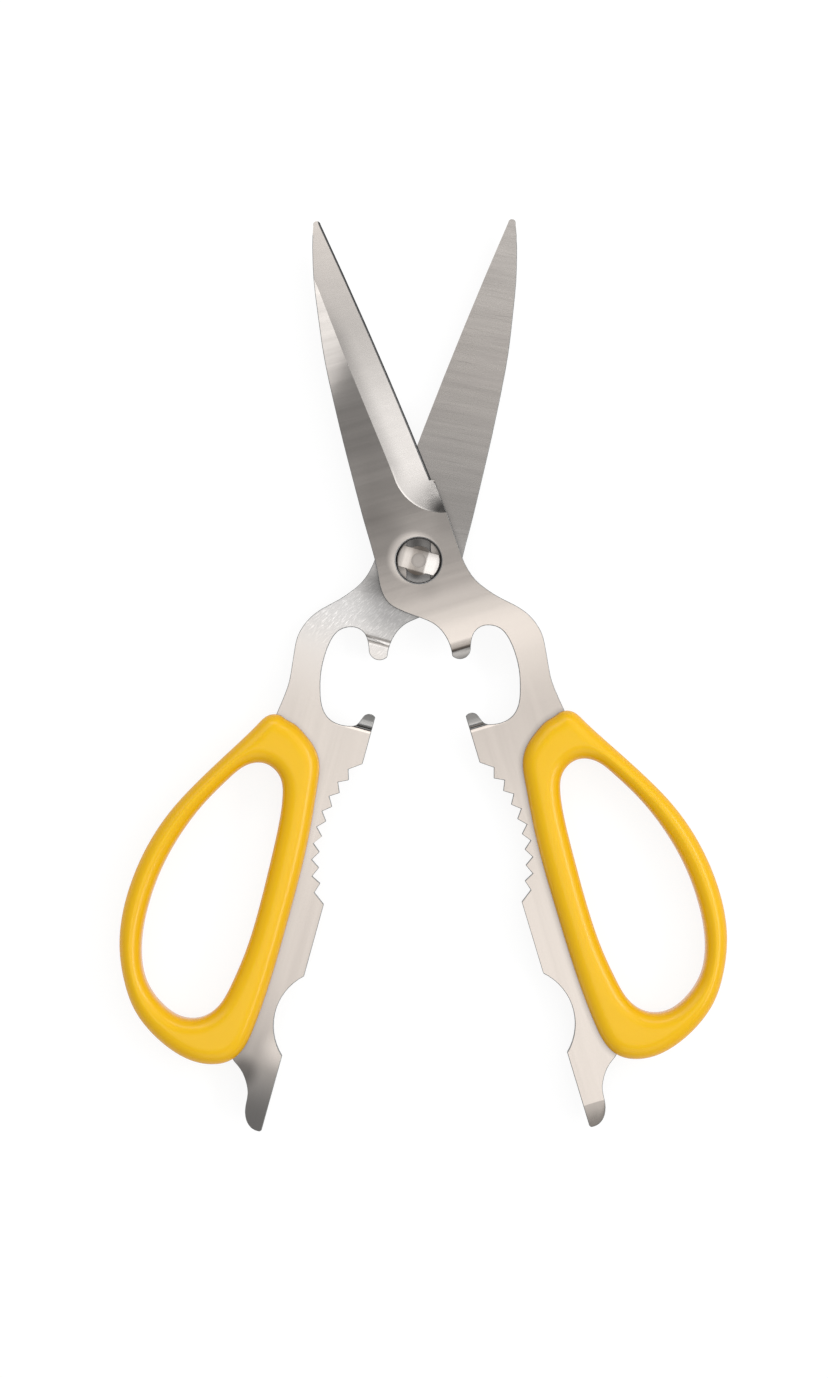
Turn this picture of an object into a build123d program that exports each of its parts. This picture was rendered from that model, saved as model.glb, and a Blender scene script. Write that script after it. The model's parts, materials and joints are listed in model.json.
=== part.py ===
"""Kitchen shears: two steel halves on a take-apart pivot, with grips moulded round their tangs.

Both halves are the same forging. The rear one is the front one turned over, so each shape below is
written once, for the front half with the blades closed: the pivot is at the middle, the blade points
along +Y, the handle lies on the +X side, and z counts from the plane where the two halves meet.
"""

import os
from math import asin, cos, radians, sin

from build123d import *

# The whole tool, at rest half open
opening_angle = 32.2
blade_reach = 78.0
tail_reach = 130.3
plate_thickness = 2.5
plate_gap = 0.05
stop_gap = 0.06
overrun = 3.0

# The plate round the pivot, and the blade with its ground face and its sharpened edge
plate_half_width = 9.4
tip_width = 1.5
heel_width = 7.8
heel_distance = 16.2
heel_step = 0.6
edge_bulge = 0.42
edge_height = 0.45
edge_floor = 0.1
bevel_reach = 0.95
grind_start = 8.05
run_out_radius = 11.1
run_out_length = 4.6
ridge_offset = 0.1

# The jaw between the pivot and the grip, and its two claws
jaw_reach = 14.4
jaw_top = 17.85
jaw_height = 21.5
arm_reach = 21.3
claw_offset = 1.03
claw_width = 4.2
claw_drop = 23.45
claw_thickness = 1.2
claw_slope = 1.2
outer_claw_step = 3.25
inner_claw_step = 4.75
lower_claw_width = 2.4
lower_claw_height = 4.0
lower_claw_step = 0.65
bend_start = 25.5
bend_length = 10.0

# The toothed inner edge, the cap notch and the driver tail
teeth_count = 8
teeth_pitch = 3.46
teeth_depth = 1.6
teeth_radius = 29.8
teeth_bow = 4.4
teeth_flank = 1.95
teeth_place_share = 0.357
notch_radius = 12.35
notch_height = 18.2
notch_distance = 26.4
tail_width = 4.8
tail_height = 13.1
tail_projection = 11.1
driver_length = 5.2
driver_relief = 13.0
driver_thickness = 1.0

# The grip round the tang
grip_offset = 6.7
grip_top = 40.9
grip_width = 35.6
grip_thickness = 10.0
grip_round = 2.0
outer_wall = 5.1
inner_wall = 6.9
knuckle_wall = 11.1
heel_wall = 8.6
anchor_radius = 1.0
knuckle_anchor_radius = 1.8

# The pivot
recess_radius = 4.9
recess_floor = 1.3
recess_ease = 0.25
neck_radius = 3.2
pivot_clearance = 0.05
bar_radius = 4.55
bar_width = 4.6
bar_sink = 0.05
keyway_width = 5.2
release_angle = 106.8
rivet_radius = 1.6
rivet_sink = 0.08
rivet_head_radius = 4.2
rivet_head_height = 1.2
rivet_head_ease = 0.4

# Levels and planes that follow from these sizes
half_opening = opening_angle / 2
plate_inner = plate_gap / 2
plate_outer = plate_inner + plate_thickness
tang_face = plate_thickness / 2
beyond = tail_reach + overrun
jaw_bottom = -jaw_top - jaw_height
notch_middle = notch_distance - tail_reach
teeth_middle = jaw_bottom + teeth_place_share * (notch_middle - jaw_bottom)
grip_length = tail_reach - tail_projection - grip_top
pivot_place = (
    0,
    (tail_reach - blade_reach) / 2 * cos(radians(half_opening)),
    grip_thickness / 2,
)
turn_x = cos(radians(half_opening))
turn_y = sin(radians(half_opening))
front_side = Plane(origin=pivot_place, x_dir=(turn_x, turn_y, 0), z_dir=(0, 0, 1))
rear_side = Plane(origin=pivot_place, x_dir=(-turn_x, turn_y, 0), z_dir=(0, 0, -1))

# Outlines drawn by hand, as shares of the boxes that they follow
plate_edge_shares = [(0.995, -0.12), (0.952, 0.5)]
tip_shares = [(0.5, -0.65), (-0.6, -0.55)]
spine_shares = [
    (-0.181, 0.962), (-0.340, 0.897), (-0.468, 0.833), (-0.562, 0.769), (-0.649, 0.705),
    (-0.728, 0.641), (-0.824, 0.513), (-0.888, 0.385), (-0.931, 0.256), (-0.963, 0.128),
    (-1.0, 0.0),
]
shoulder_shares = [
    (-1.027, 0.280), (-0.952, 0.398), (-0.755, 0.515), (-0.426, 0.650), (-0.213, 0.734),
    (-0.053, 0.821), (0.059, 0.930),
]
claw_cheek_share = 0.3
jaw_shares = [
    (0.417, 0.109), (0.500, 0.035), (0.625, 0.0), (0.764, 0.014), (0.896, 0.077), (0.972, 0.193),
    (1.0, 0.379), (0.979, 0.565), (0.917, 0.728), (0.833, 0.867), (0.694, 0.965), (0.486, 1.0),
    (0.347, 0.988), (0.250, 0.958), (0.201, 0.891),
]
lower_claw_shares = [(1.0, 0.15), (0.54, 0.0), (0.0, 0.10)]
tail_end_shares = [(0.0, 0.03), (0.08, 0.0), (0.3, 0.0)]
tail_shares = [(0.67, 0.07), (1.0, 0.333), (1.06, 0.561), (1.23, 0.714), (1.52, 0.867), (1.92, 0.99)]
tang_shares = [
    (0.126, 0.945), (0.132, 0.910), (0.126, 0.857), (0.115, 0.691), (0.112, 0.499),
    (0.118, 0.321), (0.138, 0.218), (0.183, 0.157), (0.275, 0.114), (0.362, 0.072),
    (0.404, 0.030),
]
anchor_shares = [(0.075, 0.36), (0.072, 0.56), (0.082, 0.76)]
knuckle_anchor_shares = [(0.27, 0.070)]
arm_shares = [
    (0.995, 1.0), (0.967, 0.892), (0.958, 0.807), (0.972, 0.733), (0.991, 0.648), (1.0, 0.575),
    (0.967, 0.496), (0.901, 0.430), (0.798, 0.369), (0.681, 0.311), (0.587, 0.254),
    (0.512, 0.196), (0.460, 0.122),
]
ridge_shares = [
    (-0.020, 0.290), (-0.085, 0.372), (-0.160, 0.462), (-0.245, 0.564), (-0.319, 0.667),
    (-0.383, 0.769), (-0.431, 0.833), (-0.560, 0.900), (-0.700, 0.950),
]
grind_floor_shares = [(0.93, 0.90), (0.83, 1.14)]
far_edge_shares = [(-0.035, 1.077)]
grip_shares = [
    (0.360, 0.0025), (0.415, 0.0), (0.463, 0.012), (0.496, 0.035), (0.542, 0.072),
    (0.654, 0.155), (0.767, 0.241), (0.879, 0.340), (0.958, 0.448), (0.994, 0.550),
    (0.997, 0.646), (0.961, 0.742), (0.879, 0.831), (0.761, 0.907), (0.612, 0.958),
    (0.458, 0.989), (0.317, 1.0), (0.199, 0.992), (0.107, 0.968), (0.055, 0.930),
    (0.028, 0.870), (0.011, 0.780), (0.001, 0.653), (0.0, 0.525), (0.004, 0.384),
    (0.022, 0.257), (0.045, 0.161), (0.072, 0.098), (0.121, 0.063), (0.205, 0.032),
    (0.289, 0.0115),
]
finger_shares = [
    (0.305, 0.0), (0.208, 0.010), (0.123, 0.039), (0.064, 0.099), (0.034, 0.179), (0.013, 0.324),
    (0.0, 0.512), (0.013, 0.700), (0.059, 0.836), (0.119, 0.922), (0.242, 0.980), (0.419, 1.0),
    (0.631, 0.973), (0.831, 0.904), (0.958, 0.790), (1.0, 0.648), (0.979, 0.503), (0.886, 0.341),
    (0.750, 0.205), (0.589, 0.090), (0.449, 0.020),
]
wall_round_share = 0.45956
knuckle_round_share = 0.1236


def in_box(corner, width, height, shares):
    """Outline points from hand-chosen shares of a box, counted from its corner."""
    return [(corner[0] + across * width, corner[1] + up * height) for across, up in shares]


def edge_points():
    """The cutting edge from above: its heel, a point in the middle of its slight bulge, its tip."""
    heel = (heel_width, heel_distance)
    tip = in_box((0, blade_reach), tip_width, tip_width, tip_shares)[0]
    middle = ((heel[0] + tip[0]) / 2 + edge_bulge, (heel[1] + tip[1]) / 2)
    return heel, middle, tip


def tooth_row():
    """Corners of the teeth, from the top: valleys and points by turns on two arcs round one centre."""
    centre_x = stop_gap / 2 + teeth_bow - teeth_radius
    half_step = teeth_pitch / teeth_radius / 2
    corners = []
    for index in range(2 * teeth_count + 1):
        angle = (teeth_count - index) * half_step
        radius = teeth_radius + (teeth_depth if index % 2 == 0 else 0)
        corners.append((centre_x + radius * cos(angle), teeth_middle + radius * sin(angle)))
    return corners


def half_outline():
    """The outline of one half from above, blade to tail, with the tang that the grip hides."""
    side = stop_gap / 2
    heel, edge_middle, tip = edge_points()
    tip_back = in_box((0, blade_reach), tip_width, tip_width, tip_shares)[1]
    neck, plate_edge = in_box((0, 0), plate_half_width, heel_distance, plate_edge_shares)
    spine = in_box((0, 0), plate_half_width, blade_reach, spine_shares)
    shoulder = in_box((0, 0), plate_half_width, -jaw_top, shoulder_shares)
    claw_cheek = claw_width * claw_cheek_share - claw_drop
    claw_start = (claw_offset, claw_cheek)
    claw_end = (claw_offset + claw_width, claw_cheek)
    jaw = in_box((0, -jaw_top), jaw_reach, -jaw_height, jaw_shares)
    claw_corner = (side, jaw_bottom + lower_claw_height)
    lower_claw = in_box(claw_corner, lower_claw_width, -lower_claw_height, lower_claw_shares)
    teeth = tooth_row()
    teeth_start = (side, teeth[0][1] + teeth_flank)
    teeth_end = (side, teeth[-1][1] - teeth_flank)
    notch_start = (side, notch_middle + notch_height / 2)
    notch_end = (side, notch_middle - notch_height / 2)
    notch_depth = notch_radius - notch_radius * cos(asin(notch_height / 2 / notch_radius))
    tail_end = in_box((side, -tail_reach), tail_width, tail_height, tail_end_shares)
    tail = in_box((side, -tail_reach), tail_width, tail_height, tail_shares)
    tang = in_box((grip_offset, -grip_top), grip_width, -grip_length, tang_shares)
    arm = in_box((0, 0), arm_reach, -grip_top, arm_shares)

    with BuildLine() as outline:
        Polyline(neck, plate_edge, (heel[0] + heel_step, heel[1]), heel)
        ThreePointArc(heel, edge_middle, tip)
        ThreePointArc(tip, (0, blade_reach), tip_back)
        Spline(tip_back, *spine, *shoulder, claw_start)
        ThreePointArc(claw_start, (claw_offset + claw_width / 2, -claw_drop), claw_end)
        Spline(claw_end, *jaw, lower_claw[0])
        ThreePointArc(*lower_claw)
        Polyline(lower_claw[-1], teeth_start, *teeth, teeth_end, notch_start)
        ThreePointArc(notch_start, (side + notch_depth, notch_middle), notch_end)
        Polyline(notch_end, *tail_end)
        Spline(tail_end[-1], *tail)
        Spline(tail[-1], *tang, arm[0])
        Spline(*arm, neck)
    return outline.line


def side_band():
    """The half from the side: two straight levels, one plate thick, joined by an S-shaped bend."""
    inner_start = (-bend_start, plate_inner)
    outer_start = (-bend_start, plate_outer)
    outer_end = (-bend_start - bend_length, tang_face)
    inner_end = (-bend_start - bend_length, -tang_face)
    with BuildLine() as band:
        Polyline(inner_start, (beyond, plate_inner), (beyond, plate_outer), outer_start)
        Spline(outer_start, outer_end, tangents=[(-1, 0), (-1, 0)])
        Polyline(outer_end, (-beyond, tang_face), (-beyond, -tang_face), inner_end)
        Spline(inner_end, inner_start, tangents=[(1, 0), (1, 0)])
    return band.line


def grind_cutter():
    """What the grinding wheel takes off the outer face: a slope from the ridge down to the edge."""
    _, edge_middle, _ = edge_points()
    right = ridge_offset + run_out_radius
    ridge_start = (ridge_offset, grind_start + run_out_radius)
    ridge = in_box((0, 0), plate_half_width, blade_reach, ridge_shares)
    floor_start = (right, grind_start + run_out_length)
    floor_middle, floor_heel = in_box((0, 0), plate_half_width, heel_distance, grind_floor_shares)
    far_edge = in_box((0, 0), plate_half_width, blade_reach, far_edge_shares)[0]
    with BuildPart() as cutter:
        with BuildSketch(Plane.XY.offset(plate_outer)):
            with BuildLine():
                CenterArc((right, grind_start + run_out_radius), run_out_radius, 180, 90)
                Spline(ridge_start, *ridge)
                Polyline(ridge[-1], (ridge[-1][0], beyond), (right, beyond), (right, grind_start))
            make_face()
        with BuildSketch(Plane.XY.offset(plate_inner + edge_height)):
            with BuildLine():
                ThreePointArc(floor_start, floor_middle, floor_heel)
                ThreePointArc(floor_heel, edge_middle, far_edge)
                Polyline(far_edge, (far_edge[0], beyond), (right, beyond), floor_start)
            make_face()
        loft(ruled=True)
    return cutter.part


def bevel_cutter():
    """What sharpening takes off along the edge: a narrow steep bevel that ends square at the heel."""
    heel, edge_middle, tip = edge_points()
    right = plate_half_width + overrun
    with BuildPart() as cutter:
        with BuildSketch(Plane.XY.offset(plate_inner + edge_floor)):
            with BuildLine():
                ThreePointArc(heel, edge_middle, tip)
                Polyline(tip, (0, beyond), (right, beyond), (right, heel[1]), heel)
            make_face()
        extrude(amount=bevel_reach, dir=(-1, 0, 1))
    return cutter.part


def step_profile(start, face, end, depth, slope):
    """A step from the side, cut into a face: down a slope, then flat to the end and out of the piece."""
    out = overrun if depth < 0 else -overrun
    Polyline(
        (start, face), (start - slope, face + depth), (end, face + depth), (end, face + out),
        (start, face + out), (start, face),
    )


def claw_cutter():
    """The steps that thin the upper claw on its outer face and, further up, on its inner face."""
    claw_cut = (plate_thickness - claw_thickness) / 2
    below = -claw_drop - overrun / 2
    with BuildPart() as cutter:
        with BuildSketch(Plane.YZ):
            with BuildLine():
                step_profile(outer_claw_step - claw_drop, plate_outer, below, -claw_cut, claw_slope)
            make_face()
            with BuildLine():
                step_profile(inner_claw_step - claw_drop, plate_inner, below, claw_cut, claw_slope)
            make_face()
        extrude(amount=claw_offset + 2 * claw_width)
    return cutter.part


def lower_claw_cutter():
    """The steeper steps that thin the lower claw, alike on both faces."""
    claw_cut = (plate_thickness - claw_thickness) / 2
    above = jaw_bottom + lower_claw_height + overrun
    with BuildPart() as cutter:
        with BuildSketch(Plane.YZ.offset(-overrun)):
            with BuildLine():
                step_profile(jaw_bottom + lower_claw_step, tang_face, above, -claw_cut, -lower_claw_step)
            make_face()
            with BuildLine():
                step_profile(jaw_bottom + lower_claw_step, -tang_face, above, claw_cut, -lower_claw_step)
            make_face()
        extrude(amount=overrun + 2 * lower_claw_width)
    return cutter.part


def driver_cutter():
    """What makes the tail a driver: a crisp slope on its outer face, a long hollow on its inner face."""
    driver_cut = (plate_thickness - driver_thickness) / 2
    with BuildPart() as cutter:
        with BuildSketch(Plane.YZ.offset(-overrun)):
            with BuildLine():
                start = driver_length - tail_reach
                step_profile(start, tang_face, -beyond, -driver_cut, driver_length)
            make_face()
            with BuildLine():
                start = driver_relief - tail_reach
                middle = (start - driver_relief / 2, driver_cut / 4 - tang_face)
                end = (-tail_reach, driver_cut - tang_face)
                ThreePointArc((start, -tang_face), middle, end)
                Polyline(end, (-tail_reach, -plate_outer), (start, -plate_outer), (start, -tang_face))
            make_face()
        extrude(amount=overrun + 2 * tail_width)
    return cutter.part


def forged_half():
    """One steel half with the blades closed, without what only the front or only the rear one has."""
    grip_corner = (grip_offset, -grip_top)
    with BuildPart() as half:
        with BuildSketch(Plane.XY.offset(-tang_face)):
            add(half_outline())
            make_face()
        extrude(amount=plate_outer + tang_face)
        with BuildSketch(Plane.YZ):
            add(side_band())
            make_face()
        extrude(amount=beyond, both=True, mode=Mode.INTERSECT)
        for cutter in (grind_cutter, bevel_cutter, claw_cutter, lower_claw_cutter, driver_cutter):
            add(cutter(), mode=Mode.SUBTRACT)
        with BuildSketch(Plane.XY.offset(-tang_face)):
            with Locations(*in_box(grip_corner, grip_width, -grip_length, anchor_shares)):
                Circle(anchor_radius)
            with Locations(*in_box(grip_corner, grip_width, -grip_length, knuckle_anchor_shares)):
                Circle(knuckle_anchor_radius)
        extrude(amount=plate_thickness, mode=Mode.SUBTRACT)
    return half.part


def grip_outline():
    """The outer outline of the grip from above."""
    with BuildLine() as outline:
        Spline(*in_box((grip_offset, -grip_top), grip_width, -grip_length, grip_shares), periodic=True)
    return outline.line


def finger_outline():
    """The outline of the finger opening from above, inside the grip by its four walls."""
    width = grip_width - inner_wall - outer_wall
    length = grip_length - knuckle_wall - heel_wall
    corner = (grip_offset + inner_wall, -grip_top - knuckle_wall)
    with BuildLine() as outline:
        Spline(*in_box(corner, width, -length, finger_shares), periodic=True)
    return outline.line


def grip_loop():
    """The grip as a loop, its rims as round as its narrowest wall and its knuckle allow, before the tang is in."""
    narrowest_wall = grip_outline().distance_to(finger_outline())
    knuckle_round = knuckle_round_share * grip_width**2 / grip_length
    rim_round = min(grip_round, wall_round_share * narrowest_wall, knuckle_round)
    with BuildPart() as loop:
        with BuildSketch(Plane.XY.offset(-grip_thickness / 2)):
            add(grip_outline())
            make_face()
            add(finger_outline())
            make_face(mode=Mode.SUBTRACT)
        extrude(amount=grip_thickness)
        rims = loop.edges().filter_by(GeomType.BSPLINE).group_by(Axis.Z)
        fillet(rims[0] + rims[-1], radius=rim_round)
    return loop.part


half = forged_half()
loop = grip_loop()

# Front half: the common forging with the recess and the keyhole for the locking bar
with BuildPart(front_side) as front_blade:
    add(half)
    with BuildSketch(front_side.offset(plate_outer)):
        Circle(recess_radius)
    extrude(amount=recess_floor - plate_thickness, mode=Mode.SUBTRACT)
    recess_rim = front_blade.edges(Select.LAST).filter_by(GeomType.CIRCLE).sort_by(Axis.Z)[-1]
    chamfer(recess_rim, length=recess_ease)
    with BuildSketch(front_side) as keyhole:
        Circle(recess_radius)
        Rectangle(2 * recess_radius, keyway_width, rotation=180 - release_angle, mode=Mode.INTERSECT)
        Circle(neck_radius + pivot_clearance)
    extrude(amount=plate_outer, mode=Mode.SUBTRACT)

# Rear half: the same forging turned over, with the rivet's hole
with BuildPart(rear_side) as rear_blade:
    add(half)
    with BuildSketch(rear_side):
        Circle(rivet_radius)
    extrude(amount=plate_outer, mode=Mode.SUBTRACT)

# Locking bar: a round neck on the rear half, and a T-shaped head that turns in the front recess
neck_top = plate_inner + recess_floor + pivot_clearance
bar_top = plate_outer - bar_sink
with BuildPart(rear_side) as locking_bar:
    with BuildSketch(rear_side.offset(plate_inner)):
        Circle(neck_radius)
    extrude(amount=-plate_inner - neck_top)
    with BuildSketch(rear_side.offset(-neck_top)):
        Circle(bar_radius)
        Rectangle(2 * bar_radius, bar_width, mode=Mode.INTERSECT)
    extrude(amount=neck_top - bar_top)
    with BuildSketch(rear_side.offset(plate_inner)):
        Circle(rivet_radius)
    extrude(amount=-plate_inner - bar_top, mode=Mode.SUBTRACT)

# Pivot pin: a rivet with its head behind the rear plate, peened over in the locking bar
with BuildPart(rear_side) as pivot_pin:
    with BuildSketch(rear_side.offset(plate_outer)):
        Circle(rivet_head_radius)
    extrude(amount=rivet_head_height)
    head_rim = pivot_pin.edges().filter_by(GeomType.CIRCLE).sort_by(Axis.Z)[0]
    chamfer(head_rim, length=rivet_head_ease)
    with BuildSketch(rear_side.offset(plate_outer)):
        Circle(rivet_radius)
    extrude(amount=rivet_sink - plate_outer - bar_top)

# Grips, moulded round the tangs and through their anchor holes
with BuildPart(front_side) as front_grip:
    add(loop)
    add(half, mode=Mode.SUBTRACT)

with BuildPart(rear_side) as rear_grip:
    add(loop)
    add(half, mode=Mode.SUBTRACT)

front_blade.part.label = "front_blade"
rear_blade.part.label = "rear_blade"
locking_bar.part.label = "locking_bar"
pivot_pin.part.label = "pivot_pin"
front_grip.part.label = "front_grip"
rear_grip.part.label = "rear_grip"

os.makedirs("parts", exist_ok=True)
for piece in (front_blade, rear_blade, locking_bar, pivot_pin, front_grip, rear_grip):
    export_step(piece.part, f"parts/{piece.part.label}.step")
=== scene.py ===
"""Kitchen shears, half open, seen from straight above on a pale floor.

The steel halves are the CAD pieces with their edges broken, the pivot's two pieces are the CAD nodes
themselves, and the two grips are new surfaces worked out from the CAD grips' own outlines.

Lengths are in metres, and the camera's sensor in mm. The places and radii that the steel's tones and effects
use are in mm too, from the pivot with the blades closed: across a half, with the handle +, and along it, with
the blade + and the tail -. A reach is four such places: an effect rises between the first two and falls
between the last two. A spread or a fade is two, between which a value changes.
"""

import json
from math import cos, pi, radians, sin

import bmesh
import bpy
import numpy as np
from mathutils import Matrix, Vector


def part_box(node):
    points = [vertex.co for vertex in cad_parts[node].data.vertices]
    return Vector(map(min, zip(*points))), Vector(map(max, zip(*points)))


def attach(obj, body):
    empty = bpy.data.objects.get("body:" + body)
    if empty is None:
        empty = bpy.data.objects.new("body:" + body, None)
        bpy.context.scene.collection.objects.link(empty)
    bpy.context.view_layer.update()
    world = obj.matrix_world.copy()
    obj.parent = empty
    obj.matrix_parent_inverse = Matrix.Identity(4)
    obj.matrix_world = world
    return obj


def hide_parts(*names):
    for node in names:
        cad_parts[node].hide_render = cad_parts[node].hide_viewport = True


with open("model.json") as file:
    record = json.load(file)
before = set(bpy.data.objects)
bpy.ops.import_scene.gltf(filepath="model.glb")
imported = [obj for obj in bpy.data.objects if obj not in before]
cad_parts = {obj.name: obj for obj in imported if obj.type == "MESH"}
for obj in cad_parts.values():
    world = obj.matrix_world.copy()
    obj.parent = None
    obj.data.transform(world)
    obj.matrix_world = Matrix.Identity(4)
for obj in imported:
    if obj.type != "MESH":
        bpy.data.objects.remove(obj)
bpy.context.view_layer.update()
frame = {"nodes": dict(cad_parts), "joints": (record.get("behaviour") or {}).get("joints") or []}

MM = 0.001

# The picture: where the pivot lies in it, how large a millimetre is there, and how the tool is turned
PICTURE_WIDTH, PICTURE_HEIGHT = 828, 1378
PIVOT_PIXEL = (418.6, 560.8)
PIXELS_PER_MM = 4.543
PICTURE_TURN = radians(0.7)
SENSOR_MM = 36.0
CAMERA_DISTANCE = 900 * MM
CAMERA_NEAR = 10 * MM
CAMERA_FAR = 20.0

# The tool
pivot_joint = next(joint for joint in frame["joints"] if joint["name"] == "blade_pivot")
PIVOT = np.array(pivot_joint["pos_m"])
HALF_OPENING = radians(16.1)

# The grips: how the section rounds from the rims up to a slightly crowned middle
RIM_WIDTH = 3.4 * MM
RIM_HEIGHT = 3.2 * MM
RIM_POWER = 2.0
RIM_BLEND = 0.35 * MM
CROWN = 0.35 * MM
CROWN_WIDTH = 4.5 * MM
MOULD_DRAFT = 0.06 * MM

# How far under the CAD grips' tops their outlines are read, and how finely the new grips are made
CAD_ROUND = 1.989 * MM
CAD_TOLERANCE = 0.003 * MM
GRIP_RAYS = 720
GRIP_STEPS = 30
CURVE_STEPS = 24
SEARCH_RAYS = 30

# The steel's edges and faces, and how level a face lies from 0, upright, to 1, flat
EDGE_BREAK = 0.12 * MM
BREAK_SEGMENTS = 2
SAME_FACE = radians(0.3)
SHARP_EDGE = radians(30)
CREASE = radians(6)
DOUBLED = 0.0001 * MM
WALL_LEVEL = 0.5
HONED_LEVEL = 0.92
FLAT_LEVEL = 0.9995
GROUND_START = 8 * MM
BLADE_START = 12 * MM

# The cutting edge's ends as (across, along), and how far from it edges stay crisp
CUTTING_HEEL = np.array((7.8, 16.2)) * MM
CUTTING_TIP = np.array((0.75, 77.0)) * MM
HONED_WIDTH = 1.2 * MM

# A steel half's finishes in the order of its material slots, and the mesh values that are whole numbers
FINISHES = ("outer", "inner", "ground", "honed", "walls")
WALLS = FINISHES.index("walls")
INDEX_NAMES = ("vertices", "edge_index", "loop_total")

# Painted reflections, light and shade along a half, as stops of (along, tone, warmth): the steel's darker and
# lighter stretches stand in for the dark and bright parts of the studio that it mirrors. Also what a warmth
# of 1 takes off red, green and blue
WARMTH = (0.0, 0.098, 0.18)
OUTER_PAINTED_LIGHT = (
    (-130, 0.75, 1.0), (-60, 0.73, 1.0), (-38, 0.58, 1.0), (-26, 0.85, 1.0), (-18, 1.03, 1.0),
    (-12, 0.72, 0.9), (-4, 0.43, 0.9), (4, 0.48, 0.8), (9, 0.46, 0.8), (15, 0.27, 0.8), (34, 0.49, 0.65),
    (50, 0.50, 0.6), (78, 0.95, 0.6),
)
INNER_PAINTED_LIGHT = (
    (-130, 0.13, 0.4), (-125, 0.13, 0.5), (-120, 0.24, 0.6), (-115, 0.38, 0.9), (-108, 0.52, 1.0),
    (-96, 0.65, 1.0), (-78, 0.66, 1.0), (-64, 0.76, 1.0), (-40, 0.72, 1.0), (-26, 0.90, 0.8),
    (-16, 1.0, 0.15), (-8, 0.75, 0.3), (9, 0.345, 0.7), (20, 0.45, 0.55), (40, 0.66, 0.75),
    (55, 0.76, 0.75), (78, 1.0, 0.65),
)
GROUND_PAINTED_LIGHT = (
    (8, 0.64, 0.5), (18, 0.77, 0.5), (34, 0.72, 0.5), (46, 0.52, 0.6), (58, 0.46, 0.65), (78, 0.68, 0.8),
)

# Painted light and shade on the claws' steps, as bands by stops along a half, and how far across a claw
# reaches
CLAW_REACH = (-2.0, -1.0, 7.5, 8.5)
OUTER_CLAW = (
    (-24.5, 0.3, -0.6), (-23.3, 0.32, -0.6), (-22.7, 0.42, -0.6), (-22.2, 0.47, -0.6), (-21.5, 0.46, -0.6),
    (-21.3, 0.13, 0.6), (-21.0, 0.16, 0.6), (-20.7, 0.38, 0.2), (-20.0, 0.62, 0.0), (-19.2, 1.0, 0.0),
)
INNER_CLAW = (
    (-24.5, 0.95, 0.0), (-20.35, 1.05, 0.0), (-20.1, 0.6, 0.3), (-19.8, 0.6, 0.3), (-19.55, 1.2, 0.0),
    (-19.3, 1.1, 0.0), (-19.05, 0.4, 0.3), (-18.75, 0.45, 0.3), (-18.4, 0.9, 0.0), (-17.8, 1.0, 0.0),
)
OUTER_LOWER_CLAW = (
    (-39.7, 1.0, 0.0), (-39.4, 1.5, 0.0), (-39.0, 1.3, 0.0), (-38.9, 0.1, 0.3), (-38.55, 0.1, 0.3),
    (-38.4, 1.2, 0.0), (-38.0, 1.0, -0.6), (-37.3, 0.6, -0.8), (-36.5, 0.42, -0.8), (-35.5, 0.4, -0.8),
)
INNER_LOWER_CLAW = (
    (-39.7, 1.0, 0.0), (-39.4, 1.5, 0.0), (-39.1, 1.3, 0.0), (-39.0, 0.06, 0.8), (-38.5, 0.06, 0.8),
    (-38.3, 0.5, -0.8), (-37.8, 0.72, -0.8), (-37.2, 0.6, -0.8), (-36.6, 0.3, -0.8), (-35.5, 0.26, -0.8),
)

# Painted light and shade on the pivot's pieces, as stops across and along the half
BAR_ACROSS_PAINTED_LIGHT = (
    (-5, 0.7, 0.5), (-4.2, 0.84, 0.5), (-3.6, 1.0, 0.5), (-1.95, 1.0, 0.5), (-1.5, 0.46, 0.8),
    (0.2, 0.40, 1.0), (1.3, 0.5, 1.0), (2.3, 0.75, 0.8), (3.0, 0.78, 0.8), (3.8, 0.54, 0.8), (4.6, 0.3, 0.8),
    (5, 0.25, 0.8),
)
BAR_PAINTED_LIGHT = (
    (-3.3, 0.28, 0.8), (-2.45, 0.28, 0.8), (-2.3, 1.0, 0.0), (0.6, 0.95, 0.0), (1.4, 0.85, 0.0),
    (2.2, 0.6, 0.2), (2.35, 0.4, 0.2), (3.3, 0.3, 0.5),
)
PIN_PAINTED_LIGHT = ((-2.0, 1.0, 0.8), (2.0, 0.75, 0.9))

# Soft round patches of painted light and shade: (across, along, radius of the full tone, radius where it
# ends, tone)
# A painted highlight round the recess's rim
RECESS_HIGHLIGHT = (-0.8, 0.9, 4.5, 6.3, 1.85)
# Painted shade in the recess: a dark ring by its wall, and its floor darkened less
RECESS = (0.0, 0.0, 5.1, 5.2, 0.45)
RECESS_FLOOR = (0.0, 0.0, 4.6, 4.75, 1.45)
# Painted shade below the recess, near the plate's edge by the pivot, and near the spine
SHADE_BENEATH_RECESS = (0.3, -6.2, 0.5, 4.0, 0.92)
PAINTED_EDGE_SHADE = (8.4, 6.0, 0.5, 4.5, 0.85)
PAINTED_SPINE_SHADE = (-7.8, 7.5, 3.0, 9.5, 0.72)
# Painted shade on the driver's slope beyond its crest
PAINTED_DRIVER_SHADE = (2.4, -165.0, 39.7, 39.9, 0.65)
OUTER_PATCHES = (RECESS_HIGHLIGHT, PAINTED_EDGE_SHADE, PAINTED_SPINE_SHADE, SHADE_BENEATH_RECESS, RECESS, RECESS_FLOOR, PAINTED_DRIVER_SHADE)
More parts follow.
